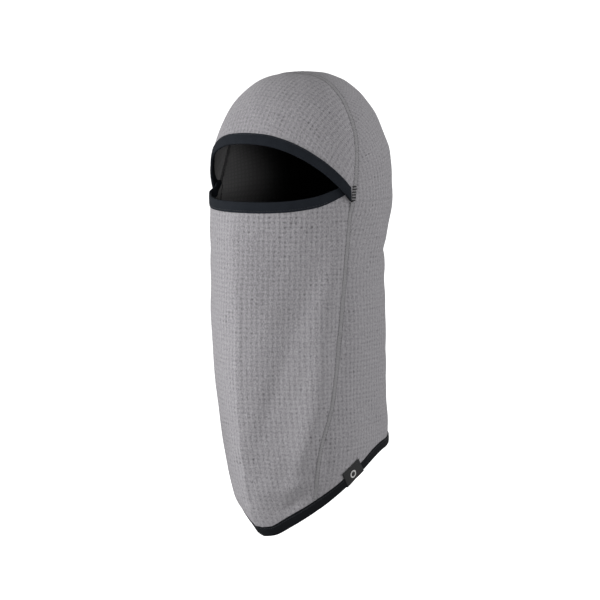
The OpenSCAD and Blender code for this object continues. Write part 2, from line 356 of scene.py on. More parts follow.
LABEL_PHI = 88
LABEL_LEAN = math.degrees(math.atan(hem_slope(LABEL_PHI)))
LABEL_RATE = float(arc_rate(LABEL_PHI, hem_z(LABEL_PHI)))
LABEL_TURN = LABEL_L / 2 * math.cos(math.radians(LABEL_LEAN)) / LABEL_RATE


def label_patch(t, s):
    phi = mix(LABEL_PHI - LABEL_TURN, LABEL_PHI + LABEL_TURN, t)
    across = s * HEM_TAPE_W
    turned = phi - across * sind(LABEL_LEAN) / LABEL_RATE
    return hood(turned, hem_z(phi) + across * cosd(LABEL_LEAN))


def care_patch(t, s):
    turn = CARE_W / HEAD_R * RAD
    return hood(180 - turn * s, -150 - CARE_L * t)


# ---- folds of the cloth

MM_PER_DEGREE = 1.45     # about the length of a degree round the hood, and over the dome
MM_PER_DOME_DEGREE = 1.6
# Soft folds: (height, width, line of points (angle from the front, z, share of the height))
FOLDS = [
    (5.6, 12, [(68, -10, 0.1), (62, -55, 0.4), (55, -98, 0.75), (53, -126, 0.95), (54, -156, 1),
               (52, -186, 1), (47, -210, 1), (42, -231, 0.9), (38, -258, 0.3)]),
    (1.2, 7, [(-5, -16, 0.3), (-5, -35, 1), (-3, -89, 1), (-2, -112, 0.3)]),
    (-2.4, 12, [(54, -20, 0.1), (48, -60, 0.4), (34, -116, 0.9), (25, -180, 1), (12, -240, 0.7),
                (6, -270, 0)]),
    (1.0, 4, [(1, -60, 0), (1, -110, 1), (0, -180, 1), (-1, -250, 1), (-6, -305, 1)]),
    (1.6, 7, [(8, -268, 0.4), (28, -268, 1), (44, -258, 0.6)]),
    (-1.6, 5, [(18, -290, 0.4), (34, -283, 1), (46, -273, 0.4)]),
    (-1.4, 6, [(60, -252, 0.5), (61, -236, 1), (58, -214, 0.3)]),
    (1.3, 8, [(72, -242, 0.4), (82, -230, 1), (92, -204, 0.3)]),
    (1.0, 9, [(76, -60, 0.3), (79, -110, 1), (75, -190, 0.6)]),
    (-1.0, 12, [(100, -80, 0.5), (97, -165, 1)]),
    (0.8, 12, [(122, -95, 1), (112, -190, 1)]),
    (0.9, 9, [(104, -196, 0.3), (122, -210, 1), (138, -222, 0.3)]),
    (-1.8, 5, [(112, -50, 0.2), (124, -48, 1), (150, -44, 1), (180, -47, 1), (214, -45, 0.4)]),
    (1.1, 7, [(122, -66, 0.4), (160, -60, 1), (200, -62, 0.4)]),
    (-1.2, 6, [(130, -86, 0.3), (170, -80, 1), (206, -84, 1), (226, -92, 0.2)]),
    (0.9, 10, [(150, -128, 0.4), (186, -120, 1), (222, -132, 0.4)]),
    (3.4, 13, [(-60, 36, 0.2), (-68, 18, 0.9), (-71, 8, 1), (-72, -16, 0.1)]),
    (1.6, 10, [(-62, -30, 0.2), (-56, -90, 1), (-50, -150, 1), (-42, -205, 0.3)]),
    (-1.2, 11, [(-38, -60, 0.4), (-34, -130, 1), (-28, -185, 0.5)]),
    (-1.2, 9, [(-60, -230, 1), (-48, -250, 0.5)]),
    (0.9, 12, [(-84, -90, 0.4), (-96, -170, 1), (-118, -214, 0.4)]),
    (-0.9, 11, [(-106, -70, 0.5), (-112, -150, 1)]),
    (1.0, 9, [(96, 34, 0.3), (128, 46, 1), (158, 40, 0.3)]),
    (-0.8, 10, [(104, 8, 0.4), (140, 14, 1)]),
]


def fold_height(p):
    """How far the soft folds stand out, in mm."""
    phi = angle_of(p)
    z = p[..., 2]
    out = np.zeros(z.shape)
    for height, width, line in FOLDS:
        first = line[0][0]
        x = wrapped(phi - first) * MM_PER_DEGREE
        best = np.zeros(z.shape)
        for (a0, z0, h0), (a1, z1, h1) in zip(line, line[1:]):
            ax, bx = (a0 - first) * MM_PER_DEGREE, (a1 - first) * MM_PER_DEGREE
            run, drop = bx - ax, z1 - z0
            s = np.clip(((x - ax) * run + (z - z0) * drop) / (run**2 + drop**2), 0, 1)
            away = (x - ax - s * run) ** 2 + (z - z0 - s * drop) ** 2
            best = np.maximum(best, mix(h0, h1, s) * np.exp(-away / width**2))
        out += height * best
    return out * ease(80, 50, z)


def seam_distance(p):
    """Distance from the nearest flat seam, in mm."""
    phi = angle_of(p)
    z = p[..., 2]
    side = np.where(z < 4, np.abs(np.abs(phi) - side_phi(z)) * MM_PER_DEGREE, 1e3)
    back = np.where(p[..., 1] > 0, np.abs(p[..., 0]), 1e3)
    d = direction_of(p)
    around = np.degrees(np.arctan2(d[..., 0], d[..., 2]))
    forward = np.degrees(np.arcsin(np.clip(-d[..., 1], -1, 1)))
    crown = np.abs(forward - crown_tilt(around)) * MM_PER_DOME_DEGREE
    return np.minimum(np.minimum(side, back), np.where(z > 0, crown, 1e3))


# (height, pitch, direction, start)
RIPPLES = [(0.22, 71, (1.0, 0.4, 0.5), 0.3), (0.2, 53, (-0.6, 1.0, 0.8), 2.1),
           (0.16, 38, (0.5, -0.7, 1.0), 4.0), (0.12, 27, (1.0, 0.9, -0.5), 1.2)]


def relief(p):
    """How far the cloth stands off the plain hood surface, in mm."""
    out = fold_height(p)
    for height, pitch, towards, start in RIPPLES:
        out += height * np.sin(p @ np.array(towards) * (2 * math.pi / pitch) + start)
    d = seam_distance(p)
    pucker = np.sin(p @ np.array((0.35, 0.3, 0.9)) * (2 * math.pi / 10.5)
                    + 1.3 * np.sin(p[..., 2] / 23))
    out -= mix(0.1, 1.1, ease(-190, -60, p[..., 2])) * np.exp(-(d / 7) ** 2)
    out += 0.16 * pucker * np.exp(-(d / 8) ** 2)
    return out - hem_curl(p)


def hem_curl(p):
    """How far the hem rolls inwards on the wearer's right of its tip, in mm: there the tape
    is out of sight from the main view."""
    phi = angle_of(p)
    low = ease(26, 0, p[..., 2] - hem_z(phi)) ** 2.5
    return 8 * low * ease(4, -40, phi) * ease(-105, -75, phi)


MASK_PATCHES = (face_patch, nose_patch)


def normals(patch, t, s):
    e = 0.003
    mid = np.clip(s, 0.02, 0.98)
    along = patch(t + e, s) - patch(t - e, s)
    across = patch(t, mid + e) - patch(t, mid - e)
    n = unit(np.cross(along, across))
    p = patch(t, s)
    out = np.stack([p[..., 0], p[..., 1], np.maximum(p[..., 2], 0)], -1)
    return n * np.where((out * n).sum(-1, keepdims=True) < 0, -1, 1)


def lifted(patch, t, s, o):
    """Points at offset o over a patch, on the folded cloth, and the outward normals there."""
    t, s, o = np.broadcast_arrays(*(np.asarray(x, float) for x in (t, s, o)))
    p = patch(t, s)
    n = normals(patch, t, s)
    dip = nose_dip(p) if patch in MASK_PATCHES else 0
    return p + (o + dip + relief(p))[..., None] * n, n


# ---- meshes


def new_mesh(name, verts, faces, materials, face_material=None, weave=None):
    """verts in mm; faces a list of integer arrays, one row per face."""
    mesh = bpy.data.meshes.new(name)
    verts = np.asarray(verts, float).reshape(-1, 3)
    faces = [np.asarray(f, np.int32) for f in faces if len(f)]
    sizes = np.concatenate([np.full(len(f), f.shape[1], np.int32) for f in faces])
    loops = np.concatenate([f.ravel() for f in faces])
    mesh.vertices.add(len(verts))
    mesh.vertices.foreach_set("co", (verts / 1000).astype(np.float32).ravel())
    mesh.loops.add(len(loops))
    mesh.loops.foreach_set("vertex_index", loops)
    mesh.polygons.add(len(sizes))
    starts = np.concatenate([[0], np.cumsum(sizes)[:-1]])
    mesh.polygons.foreach_set("loop_start", starts.astype(np.int32))
    for m in materials:
        mesh.materials.append(m)
    if face_material is not None:
        mesh.polygons.foreach_set("material_index", np.asarray(face_material, np.int32))
    mesh.update(calc_edges=True)
    mesh.polygons.foreach_set("use_smooth", np.full(len(sizes), True))
    if weave is not None:
        layer = mesh.attributes.new("weave", "FLOAT_VECTOR", "POINT")
        layer.data.foreach_set("vector", np.asarray(weave, np.float32).reshape(-1, 3).ravel())
    mesh.validate()
    obj = bpy.data.objects.new(name, mesh)
    bpy.context.scene.collection.objects.link(obj)
    return obj


def numbered(verts):
    """The number of each point of a grid of points."""
    return np.arange(verts[..., 0].size).reshape(verts.shape[:-1])


def quads(index, flip=False):
    """Quads of a 2-D array of vertex numbers."""
    a, b, c, d = index[:-1, :-1], index[1:, :-1], index[1:, 1:], index[:-1, 1:]
    f = np.stack([a, b, c, d], -1).reshape(-1, 4)
    return f[:, ::-1] if flip else f


def closed(index, axis):
    """The array with its first row or column repeated at the end."""
    return np.concatenate([index, np.take(index, [0], axis)], axis)


def turned_out(obj):
    """Makes every face look away from the solid's inside."""
    import bmesh
    bm = bmesh.new()
    bm.from_mesh(obj.data)
    bmesh.ops.recalc_face_normals(bm, faces=bm.faces)
    bm.to_mesh(obj.data)
    bm.free()
    return obj


def panel(name, patch, steps, weave_of, materials):
    """A cloth panel: a fine outer face with the grid's pits, a coarser inner face, and its cut
    edges. Its "depth" runs from 0 at the front of the hood to 1 at the back; the inner face's
    colour darkens along it, as painted shade inside the hood."""
    nt, nv = (COARSE * int(round(n / COARSE)) for n in steps)
    t, v = np.meshgrid(np.linspace(0, 1, nt + 1), np.linspace(0, 1, nv + 1), indexing="ij")
    base = patch(t, v)
    weave = weave_of(base)
    edge = np.minimum(np.minimum(t, 1 - t) * nt, np.minimum(v, 1 - v) * nv)
    outer, n = lifted(patch, t, v, FLEECE_O)
    outer = outer - (pit_depth(weave) * ease(1, 3, edge))[..., None] * n
    inner = (outer - 2 * FLEECE_O * n)[::COARSE, ::COARSE]
    index = numbered(outer)
    inner_index = numbered(inner) + index.size
    faces = [quads(index), quads(inner_index, flip=True)]
    rims = []
    for fine, rough in ((index[0], inner_index[0]), (index[-1], inner_index[-1]),
                        (index[:, 0], inner_index[:, 0]), (index[:, -1], inner_index[:, -1])):
        for k in range(len(rough) - 1):
            rims.append([rough[k], *fine[k * COARSE:(k + 1) * COARSE + 1], rough[k + 1]])
    faces.append(np.array(rims))
    slots = np.concatenate([np.full(len(f), i) for i, f in zip((0, 1, 0), faces)])
    verts = np.concatenate([outer.reshape(-1, 3), inner.reshape(-1, 3)])
    weave = np.concatenate([weave.reshape(-1, 3), weave[::COARSE, ::COARSE].reshape(-1, 3)])
    obj = new_mesh(name, verts, faces, materials, slots, weave)
    # Painted shade: along this the inner face's colour goes from charcoal at the front of the hood
    # to nearly black at the back
    layer = obj.data.attributes.new("depth", "FLOAT", "POINT")
    layer.data.foreach_set("value", ease(-30, 66, verts[:, 1]).astype(np.float32))
    return turned_out(obj)


def pit_depth(weave):
    """Depth of the fleece's pits, in mm."""
    u = (weave[..., 0] / PIT_U + 0.5) % 1 - 0.5
    w = (weave[..., 1] / PIT_W + 0.5) % 1 - 0.5
    far = (u * PIT_U) ** 2 + (w * PIT_W) ** 2
    return PIT_D * np.exp(-far / PIT_SPREAD)


def girth_from(phi, z, start, steps=14):
    """Length along the hood, level, from an angle to phi."""
    total = np.zeros(phi.shape)
    before = hood(np.full(phi.shape, float(start)), z)
    for k in range(1, steps + 1):
        here = hood(start + (phi - start) * k / steps, z)
        total += np.linalg.norm(here - before, axis=-1)
        before = here
    return total * np.sign(phi - start)


def spread(d, middle, up, scale_u, scale_w):
    """Flat coordinates of directions round a middle one, true to distance from it."""
    side = np.cross(middle, up)
    far = np.arccos(np.clip(d @ middle, -1, 1))
    grow = np.where(far > 1e-6, far / np.maximum(np.sin(far), 1e-6), 1)
    return grow * (d @ side) * scale_u, grow * (d @ up) * scale_w


def face_weave(p):
    return points(girth_from(angle_of(p), p[..., 2], 0), -p[..., 2], 0)


def back_weave(p):
    phi = np.abs(angle_of(p))
    u = girth_from(phi, np.minimum(p[..., 2], 0), 180)
    d = direction_of(p)
    du, dw = spread(d, np.array([0, 1, 0.0]), np.array([0, 0, 1.0]), 92, 108)
    on_dome = p[..., 2] > 0
    return points(np.where(on_dome, -np.abs(du), u), np.where(on_dome, -dw, -p[..., 2]), 0)


def crown_weave(p):
    lean = math.radians(62)
    middle = np.array([0, -math.cos(lean), math.sin(lean)])
    up = np.array([0, math.sin(lean), math.cos(lean)])
    u, w = spread(direction_of(p), middle, up, 92, 104)
    return points(u, -w, 0)


# ---- tapes


STITCH_ROW = 0.83        # where a tape's stitches lie, as a share of its width


def tape_profile(width, flat_steps=12):
    """Outline of a tape folded over an edge: (distance from the edge, offset), closed."""
    a, b = OVER_CLOTH, OVER_CLOTH + TAPE_T
    s = np.linspace(1, 0, flat_steps + 1)
    groove = 0.3 * np.exp(-((s - STITCH_ROW) * width / 0.55) ** 2)
    puff = 0.22 * np.sin(math.pi * np.clip(s, 0, 1)) ** 0.6 - groove
    outer = [(x * width, b + h) for x, h in zip(s, puff)]
    turn = [(-1.15 * math.sin(q), b * math.cos(q)) for q in np.linspace(0, math.pi, 11)[1:-1]]
    lower = [(x, -o) for x, o in reversed(outer)]
    edge = (a + b) / 2
    low_edge = [(width + 0.3, -edge - 0.12), (width + 0.3, -edge + 0.12)]
    under = [(x, -a) for x in np.linspace(width, 0.4, 6)]
    nook = [(0.1, -a * 0.6), (0, 0), (0.1, a * 0.6)]
    back = [(x, -o) for x, o in [*reversed(under), *reversed(low_edge)]]
    return np.array(outer + turn + lower + low_edge + under + nook + back)


def tape(name, patch, width, rings, material, fold_in=1.1, edge_in=0.0, loop=False):
    profile = tape_profile(width)
    profile[:, 0] = mix(fold_in, width - edge_in, profile[:, 0] / width)
    t = np.linspace(0, 1, rings + 1)[:-1 if loop else None]
    s, o = profile.T
    verts, _ = lifted(patch, t[:, None], s[None] / width, o[None])
    index = numbered(verts)
    body = closed(index, 1)
    faces = [quads(closed(body, 0) if loop else body)]
    if not loop:
        faces += [index[:1], index[-1:]]
    middle = verts[:, 0]
    along = np.concatenate([[0], np.cumsum(np.linalg.norm(np.diff(middle, axis=0), axis=1))])
    around = np.concatenate([[0], np.cumsum(np.hypot(*np.diff(profile, axis=0).T))])
    weave = points(along[:, None], around[None], 0)
    return turned_out(new_mesh(name, verts, faces, [material], weave=weave))


# ---- threads


def threads(name, groups):
    """One mesh of many threads. Each group is (paths, normals, radius, flatness, material),
    with paths an array (threads, points, 3) and normals the cloth's normals there."""
    verts, faces, weaves, slots, mats, count = [], [], [], [], [], 0
    sides = 6
    for paths, ns, radius, flatness, material in groups:
        if material not in mats:
            mats.append(material)
        forward = unit(np.gradient(paths, axis=1))
        across = unit(np.cross(forward, ns))
        up = np.cross(across, forward)
        q = np.arange(sides) / sides * 2 * math.pi
        k = paths.shape[1]
        taper = np.minimum(1, 0.55 + 0.45 * np.minimum(np.arange(k), np.arange(k)[::-1]))
        taper = taper[None, :, None, None]
        ring = (np.cos(q)[:, None] * across[:, :, None]
                + flatness * np.sin(q)[:, None] * up[:, :, None])
        v = paths[:, :, None] + radius * taper * ring
        steps = np.diff(paths, axis=1, prepend=paths[:, :1])
        along = np.cumsum(np.linalg.norm(steps, axis=-1), axis=1)
        weaves.append(points(along[:, :, None], q[None, None] * radius, 0).reshape(-1, 3))
        index = numbered(v) + count
        count += index.size
        wrap = np.concatenate([index, index[:, :, :1]], 2)
        body = np.stack([wrap[:, :-1, :-1], wrap[:, :-1, 1:], wrap[:, 1:, 1:], wrap[:, 1:, :-1]],
                        -1).reshape(-1, 4)
        ends = np.concatenate([index[:, 0], index[:, -1, ::-1]])
        verts.append(v.reshape(-1, 3))
        for f in (body, ends):
            faces.append(f)
            slots.append(np.full(len(f), mats.index(material)))
    return turned_out(new_mesh(name, np.concatenate(verts), faces, mats, np.concatenate(slots),
                               np.concatenate(weaves)))


def patch_length(patch):
    t = np.linspace(0, 1, 200)
    return float(np.linalg.norm(np.diff(patch(t, np.full(200, 0.5)), axis=0), axis=1).sum())


def dashes(patch, s, offset, pitch, share, start=0.0, end=1.0, slant=0.0):
    """Short straight stitches along a patch, each dipping into the cloth at its ends."""
    length = patch_length(patch) * (end - start)
    count = max(int(length / pitch), 1)
    first = start + (end - start) * (np.arange(count) + (1 - share) / 2) / count
    k = np.linspace(0, 1, 6)
    t = first[:, None] + k[None] * share * (end - start) / count
    across = s + slant * (k[None] - 0.5) + 0 * t
    dip = offset - 0.35 * (2 * np.abs(k - 0.5)) ** 4
    return lifted(patch, t, across, dip[None] + 0 * t)


def zigzag(patch, low, high, offset, pitch, phase=0.0):
    """One thread that crosses a seam back and forth."""
    count = int(patch_length(patch) / pitch)
    step = np.arange(count * 8 + 1) / 8 + phase
    swing = np.clip(1.25 * np.arcsin(np.sin(step * 2 * math.pi)) / (math.pi / 2), -1, 1)
    across = (low + high) / 2 + (high - low) / 2 * swing
    t = (step - phase) / count
    dip = offset - 0.22 * np.abs(swing) ** 6
    p, n = lifted(patch, t, across, dip)
    return p[None], n[None]


def join(target, others):
    """Joins meshes into the first one."""
    every = [target, *others]
    with bpy.context.temp_override(active_object=target, selected_editable_objects=every):
        bpy.ops.object.join()
    return target


def band_mesh(name, patch, low, high, bottom, top, rings, material):
    """A thin solid strip along a patch, a little raised in the middle."""
    s = np.linspace(low, high, 7)
    rise = top + 0.15 * np.sin(math.pi * (s - low) / (high - low))
    ring_s = np.concatenate([s, s[::-1]])
    ring_o = np.concatenate([rise, np.full(7, float(bottom))])
    t = np.linspace(0, 1, rings + 1)
    verts = lifted(patch, t[:, None], ring_s[None], ring_o[None])[0]
    index = numbered(verts)
    faces = [quads(closed(index, 1)), index[:1], index[-1:]]
    length = patch_length(patch)
    weave = points(np.linspace(0, length, rings + 1)[:, None],
                   np.linspace(0, 10, index.shape[1])[None], 0)
    return turned_out(new_mesh(name, verts, faces, [material], weave=weave))


def flat_seam(name, patch, mats):
    """A flat seam: a bed of thread, and on both faces rows of needle stitches and cover
    threads that cross it."""
    rings = int(patch_length(patch) / 1.6)
    bed = band_mesh(name, patch, 0.12, 0.88, -0.1, FLEECE_O - 0.02, rings, mats["seam_bed"])
    under = band_mesh(name + "_under", patch, 0.12, 0.88, -FLEECE_O - 0.1, -FLEECE_O + 0.3,
                      rings, mats["inner_thread"])
    parts = []
    for sign in (1, -1):
        cover, needle = (mats[x if sign > 0 else "inner_thread"]
                         for x in ("seam_cover", "seam_needle"))
        for phase in (0.0, 0.5):
            line = zigzag(patch, 0.04, 0.96, sign * (FLEECE_O + 0.16), 3.0, phase)
            parts.append((*line, 0.24, 0.8, cover))
        for s, radius, material in ((0.02, 0.28, needle), (0.98, 0.28, needle), (0.5, 0.26, cover)):
            row = dashes(patch, s, sign * (FLEECE_O + 0.2), 2.6, 0.8)
            parts.append((*row, radius, 0.8, material))
    return join(bed, [under, threads(name + "_threads", parts)])


def tape_stitching(name, patch, material, start, end):
    """A row of stitches along a tape, on both faces."""
    over = OVER_CLOTH + TAPE_T + 0.08
    rows = [dashes(patch, STITCH_ROW, sign * over, 2.7, 0.8, start, end, slant=0.035)
            for sign in (1, -1)]
    return threads(name, [(*row, 0.24, 0.8, material) for row in rows])


def bartack(name, side, mats):
    """Close columns of short stitches that hold the ends of both tapes to the seam."""
    def patch(t, s):
        z = mix(0, 15, t)
        return hood(side * (side_phi(z) + (2 * s - 1) * SEAM_TURN * 0.8), z)
    groups = []
    for k in range(4):
        for sign in (1, -1):
            row = dashes(patch, 0.1 + 0.27 * k, sign * (FLEECE_O + 0.7), 2.2, 0.5)
            groups.append((*row, 0.55, 1.0, mats["tack_thread"]))
    groups.append((*zigzag(patch, 0.0, 1.0, FLEECE_O + 0.25, 1.4), 0.2, 0.8, mats["seam_cover"]))
    return threads(name, groups)


# ---- materials


class Nodes:
    """Short calls for building a material's node tree."""

    def __init__(self, name, roughness, sheen=0.0, sheen_roughness=0.5, specular=0.5):
        self.material = bpy.data.materials.new(name)
        self.material.use_nodes = True
        self.tree = self.material.node_tree
        self.shader = self.tree.nodes["Principled BSDF"]
        for key, value in (("Roughness", roughness), ("Sheen Weight", sheen),
                           ("Sheen Roughness", sheen_roughness),
                           ("Specular IOR Level", specular)):
            self.shader.inputs[key].default_value = value

    def add(self, kind, **values):
        node = self.tree.nodes.new(kind)
        for key, value in values.items():
            setattr(node, key, value)
        return node

    def link(self, value, socket):
        if isinstance(value, (int, float, tuple)):
            socket.default_value = value
        else:
            self.tree.links.new(value, socket)

    def math(self, operation, a, b=0.0, clamp=False):
        node = self.add("ShaderNodeMath", operation=operation, use_clamp=clamp)
        self.link(a, node.inputs[0])
        self.link(b, node.inputs[1])
        return node.outputs[0]

    def plus(self, a, b):
        return self.math("ADD", a, b)

    def minus(self, a, b):
        return self.math("SUBTRACT", a, b)

    def times(self, a, b):
        return self.math("MULTIPLY", a, b)

    def total(self, *terms, clamp=False):
        """Sum of (value, share) terms, each value times its share. A clamp holds the last sum
        between 0 and 1."""
        out = None
        for k, (value, share) in enumerate(terms):
            part = value if share == 1 else self.times(value, share)
            last = k == len(terms) - 1
            out = part if out is None else self.math("ADD", out, part, clamp and last)
        return out

    def weave(self):
        node = self.add("ShaderNodeAttribute", attribute_name="weave")
        split = self.add("ShaderNodeSeparateXYZ")
        self.link(node.outputs["Vector"], split.inputs[0])
        return node.outputs["Vector"], split.outputs[0], split.outputs[1]

    def scaled(self, vector, scale):
        node = self.add("ShaderNodeVectorMath", operation="MULTIPLY")
        self.link(vector, node.inputs[0])
        node.inputs[1].default_value = scale
        return node.outputs[0]

    def noise(self, vector, scale, detail=2.0, roughness=0.5):
        node = self.add("ShaderNodeTexNoise")
        self.link(vector, node.inputs["Vector"])
        for key, value in (("Scale", scale), ("Detail", detail), ("Roughness", roughness)):
            node.inputs[key].default_value = value
        return node.outputs["Fac"]

    def remap(self, value, low, high, to_low, to_high, kind="LINEAR"):
        node = self.add("ShaderNodeMapRange", interpolation_type=kind)
        for socket, v in zip(node.inputs, (value, low, high, to_low, to_high)):
            self.link(v, socket)
        return node.outputs[0]

    def wave(self, value, pitch):
        """0 to 1 and back over each pitch."""
        turned = self.math("SINE", self.times(value, 2 * math.pi / pitch))
        return self.remap(turned, -1, 1, 0, 1)

    def colour(self, factor, dark, light):
        node = self.add("ShaderNodeMix", data_type="RGBA")
        self.link(factor, node.inputs["Factor"])
        node.inputs["A"].default_value = (*dark, 1)
        node.inputs["B"].default_value = (*light, 1)
        return node.outputs["Result"]

    def finish(self, colour, height=None, bump=0.5, distance=0.0003):
        self.link(colour, self.shader.inputs["Base Color"])
        if height is not None:
            node = self.add("ShaderNodeBump")
            node.inputs["Strength"].default_value = bump
            node.inputs["Distance"].default_value = distance
            self.link(height, node.inputs["Height"])
            self.link(node.outputs[0], self.shader.inputs["Normal"])
        return self.material


def cells(n, along, pitch):
    """Distance from the middle of the cell, in mm, and the cell's number."""
    at = n.plus(n.math("DIVIDE", along, pitch), 0.5)
    off = n.minus(n.math("FRACT", at), 0.5)
    return n.times(off, pitch), n.math("FLOOR", at)


def hill(n, distance, width):
    """1 at no distance, falling smoothly to 0."""
    ratio = n.math("DIVIDE", distance, width)
    return n.math("EXPONENT", n.times(n.times(ratio, ratio), -1.0))


# Painted highlight and painted shade: one lighter and two darker patches in the fleece's colour,
# standing in for the light and shade of the lower folds.
# Soft patches of lighter or darker tone, set in the weave's own coordinates, in mm, so
# that they fall on every panel that has such coordinates: (share, u, lean, width, w, length)
PAINTED_LIGHT_PATCHES = [(0.11, 54, 0.19, 14, 185, 62), (-0.08, 18, 0.0, 22, 62, 46),
                (-0.11, -45, 0.0, 26, 235, 50)]


def fleece_outside():
    """Knitted face of the grid fleece: heather grey, light wales, a grid of soft pits of
    uneven depth, and soft patches of painted highlight and painted shade on the lower folds."""
    n = Nodes("fleece_outside", 0.92, sheen=0.1, sheen_roughness=0.6, specular=0.2)
    vector, u, w = n.weave()
    drift = n.noise(n.scaled(vector, (0.6, 1.0, 1.0)), 0.09, 2.0)
    wander = n.times(n.minus(drift, 0.5), 1.6)
    du, cell_u = cells(n, n.plus(u, wander), PIT_U)
    dw, cell_w = cells(n, n.plus(w, wander), PIT_W)
    both = n.add("ShaderNodeCombineXYZ")
    n.link(cell_u, both.inputs[0])
    n.link(cell_w, both.inputs[1])
    chance = n.add("ShaderNodeTexWhiteNoise", noise_dimensions="2D")
    n.link(both.outputs[0], chance.inputs["Vector"])
    clusters = n.noise(n.scaled(vector, (0.7, 1.3, 1.0)), 0.05, 2.0)
    deep = n.remap(clusters, 0.56, 0.7, 0.0, 1.4, "SMOOTHSTEP")
    strength = n.times(n.remap(chance.outputs["Value"], 0, 1, 0.0, 1.0),
                      n.plus(n.remap(clusters, 0.35, 0.6, 0.25, 0.8), deep))
    # Deeper pits round one place: on the face, 5 cm to the wearer's left, under the nose tape
    pulled = n.times(hill(n, n.minus(u, 50.0), 26),
                    hill(n, n.minus(w, 18.0), 17))
    extra = n.times(pulled, n.times(chance.outputs["Value"], 1.6))
    strength = n.plus(strength, extra)
    pits = n.times(n.times(hill(n, du, 0.85), hill(n, dw, 1.05)), strength)
    bars = n.minus(1.0, hill(n, du, 1.9))
    rungs = n.minus(1.0, hill(n, dw, 1.7))
    heather = n.noise(n.scaled(vector, (1.7, 0.6, 1.0)), 0.9, 3.0, 0.75)
    tufts = n.noise(vector, 0.5, 3.0, 0.6)
    wales = n.wave(u, PIT_U / 4)
    courses = n.wave(w, PIT_W / 4)
    streaks = n.noise(n.scaled(vector, (2.2, 0.25, 1.0)), 0.6, 3.0, 0.8)
    grain = ((heather, 1.4), (streaks, 0.75), (tufts, 0.5), (wales, 0.22), (courses, 0.14))
    terms = [(0.4, 1)] + [(n.minus(value, 0.5), share) for value, share in grain]
    terms += [(bars, 0.12), (rungs, 0.07)]
    # Painted highlight and painted shade: the lighter and darker patches listed above
    for share, middle, lean, spread_u, low, spread_w in PAINTED_LIGHT_PATCHES:
        down = n.minus(w, low)
        off = n.plus(n.minus(u, middle), n.times(down, lean))
        terms.append((n.times(hill(n, off, spread_u), hill(n, down, spread_w)), share))
    tone = n.total(*terms, (pits, -0.21), clamp=True)
    colour = n.colour(tone, (0.106, 0.102, 0.11), (0.552, 0.536, 0.563))
    height = n.total((wales, 0.4), (courses, 0.3), (heather, 0.9), (bars, 0.35), (pits, -0.6))
    return n.finish(colour, height, bump=0.5, distance=0.00035)


def fleece_inside():
    """Brushed inner face: small raised squares of pile, charcoal, painted nearly black towards
    the back of the hood, however it is lit: painted shade inside the hood."""
    n = Nodes("fleece_inside", 0.95, specular=0.05)
    vector, u, w = n.weave()
    depth = n.add("ShaderNodeAttribute", attribute_name="depth").outputs["Fac"]
    squares = n.times(n.remap(n.wave(u, PIT_U), 0.1, 0.45, 0, 1, "SMOOTHSTEP"),
                     n.remap(n.wave(w, PIT_W), 0.1, 0.45, 0, 1, "SMOOTHSTEP"))
    pile = n.noise(vector, 1.6, 3.0, 0.7)
    tone = n.total((squares, 0.25), (pile, 0.6), clamp=True)
    height = n.total((squares, 0.4), (pile, 0.4))
    cloth = n.colour(tone, (0.17, 0.168, 0.171), (0.3, 0.297, 0.302))
    # Painted shade: darker towards the back of the hood, nearly black, in place of the shade inside
    # the hood
    shaded = n.add("ShaderNodeMix", data_type="RGBA")
    for name, value in (("Factor", depth), ("A", cloth), ("B", (0.004, 0.004, 0.004, 1))):
        n.link(value, shaded.inputs[name])
    return n.finish(shaded.outputs["Result"], height, bump=0.35, distance=0.0005)


def tape_knit(name, dark, light):
    """Elastic binding tape: fine ribs along it, crossed by finer courses."""
    n = Nodes(name, 0.85, specular=0.12)
    vector, u, w = n.weave()
    ribs = n.wave(w, 0.85)
    courses = n.wave(u, 0.7)
    fuzz = n.noise(vector, 1.3, 3.0, 0.6)
    patches = n.noise(vector, 0.12, 2.0)
    tone = n.total((ribs, 0.25), (fuzz, 0.4), (patches, 0.35), clamp=True)
    height = n.total((ribs, 1), (courses, 0.5), (fuzz, 0.5))
    return n.finish(n.colour(tone, dark, light), height, bump=0.5, distance=0.00025)


def thread(name, dark, light, roughness=0.6):
    """Twisted thread: slanting plies along its length."""
    n = Nodes(name, roughness, sheen=0.05, specular=0.35)
    vector, u, w = n.weave()
    plies = n.wave(n.plus(u, n.times(w, 1.2)), 0.55)
    fuzz = n.noise(vector, 1.1, 2.0)
    tone = n.total((plies, 0.6), (fuzz, 0.5), clamp=True)
    return n.finish(n.colour(tone, dark, light), plies, bump=0.5, distance=0.0001)


def label_weave():
    """Dense woven label: a fine twill."""
    n = Nodes("label_weave", 0.7, specular=0.3)
    vector, u, w = n.weave()
    twill = n.wave(n.plus(u, w), 0.6)
    picks = n.wave(w, 0.45)
    fuzz = n.noise(vector, 1.5, 2.0)
    tone = n.total((twill, 0.5), (fuzz, 0.5), clamp=True)
    height = n.plus(twill, picks)
    colour = n.colour(tone, (0.012, 0.012, 0.013), (0.03, 0.03, 0.032))
    return n.finish(colour, height, 0.4, 0.00015)


def satin():
    """Satin ribbon of the care label."""
    n = Nodes("care_satin", 0.35, sheen=0.1, specular=0.5)
    vector, u, w = n.weave()
    lines = n.wave(u, 0.4)
    fuzz = n.noise(n.scaled(vector, (0.3, 3.0, 1.0)), 1.0, 2.0)
    tone = n.total((lines, 0.4), (fuzz, 0.5), clamp=True)
    return n.finish(n.colour(tone, (0.62, 0.62, 0.61), (0.8, 0.8, 0.79)), lines, 0.3, 0.0001)


def plain_stage(name, colour, glow):
    """Pale surface of the stage."""
    n = Nodes(name, 0.9, specular=0.0)
    grain = n.noise(n.add("ShaderNodeTexCoord").outputs["Object"], 2.0)
    n.shader.inputs["Emission Color"].default_value = (1, 1, 1, 1)
    n.shader.inputs["Emission Strength"].default_value = glow
    return n.finish(n.colour(grain, colour, colour))


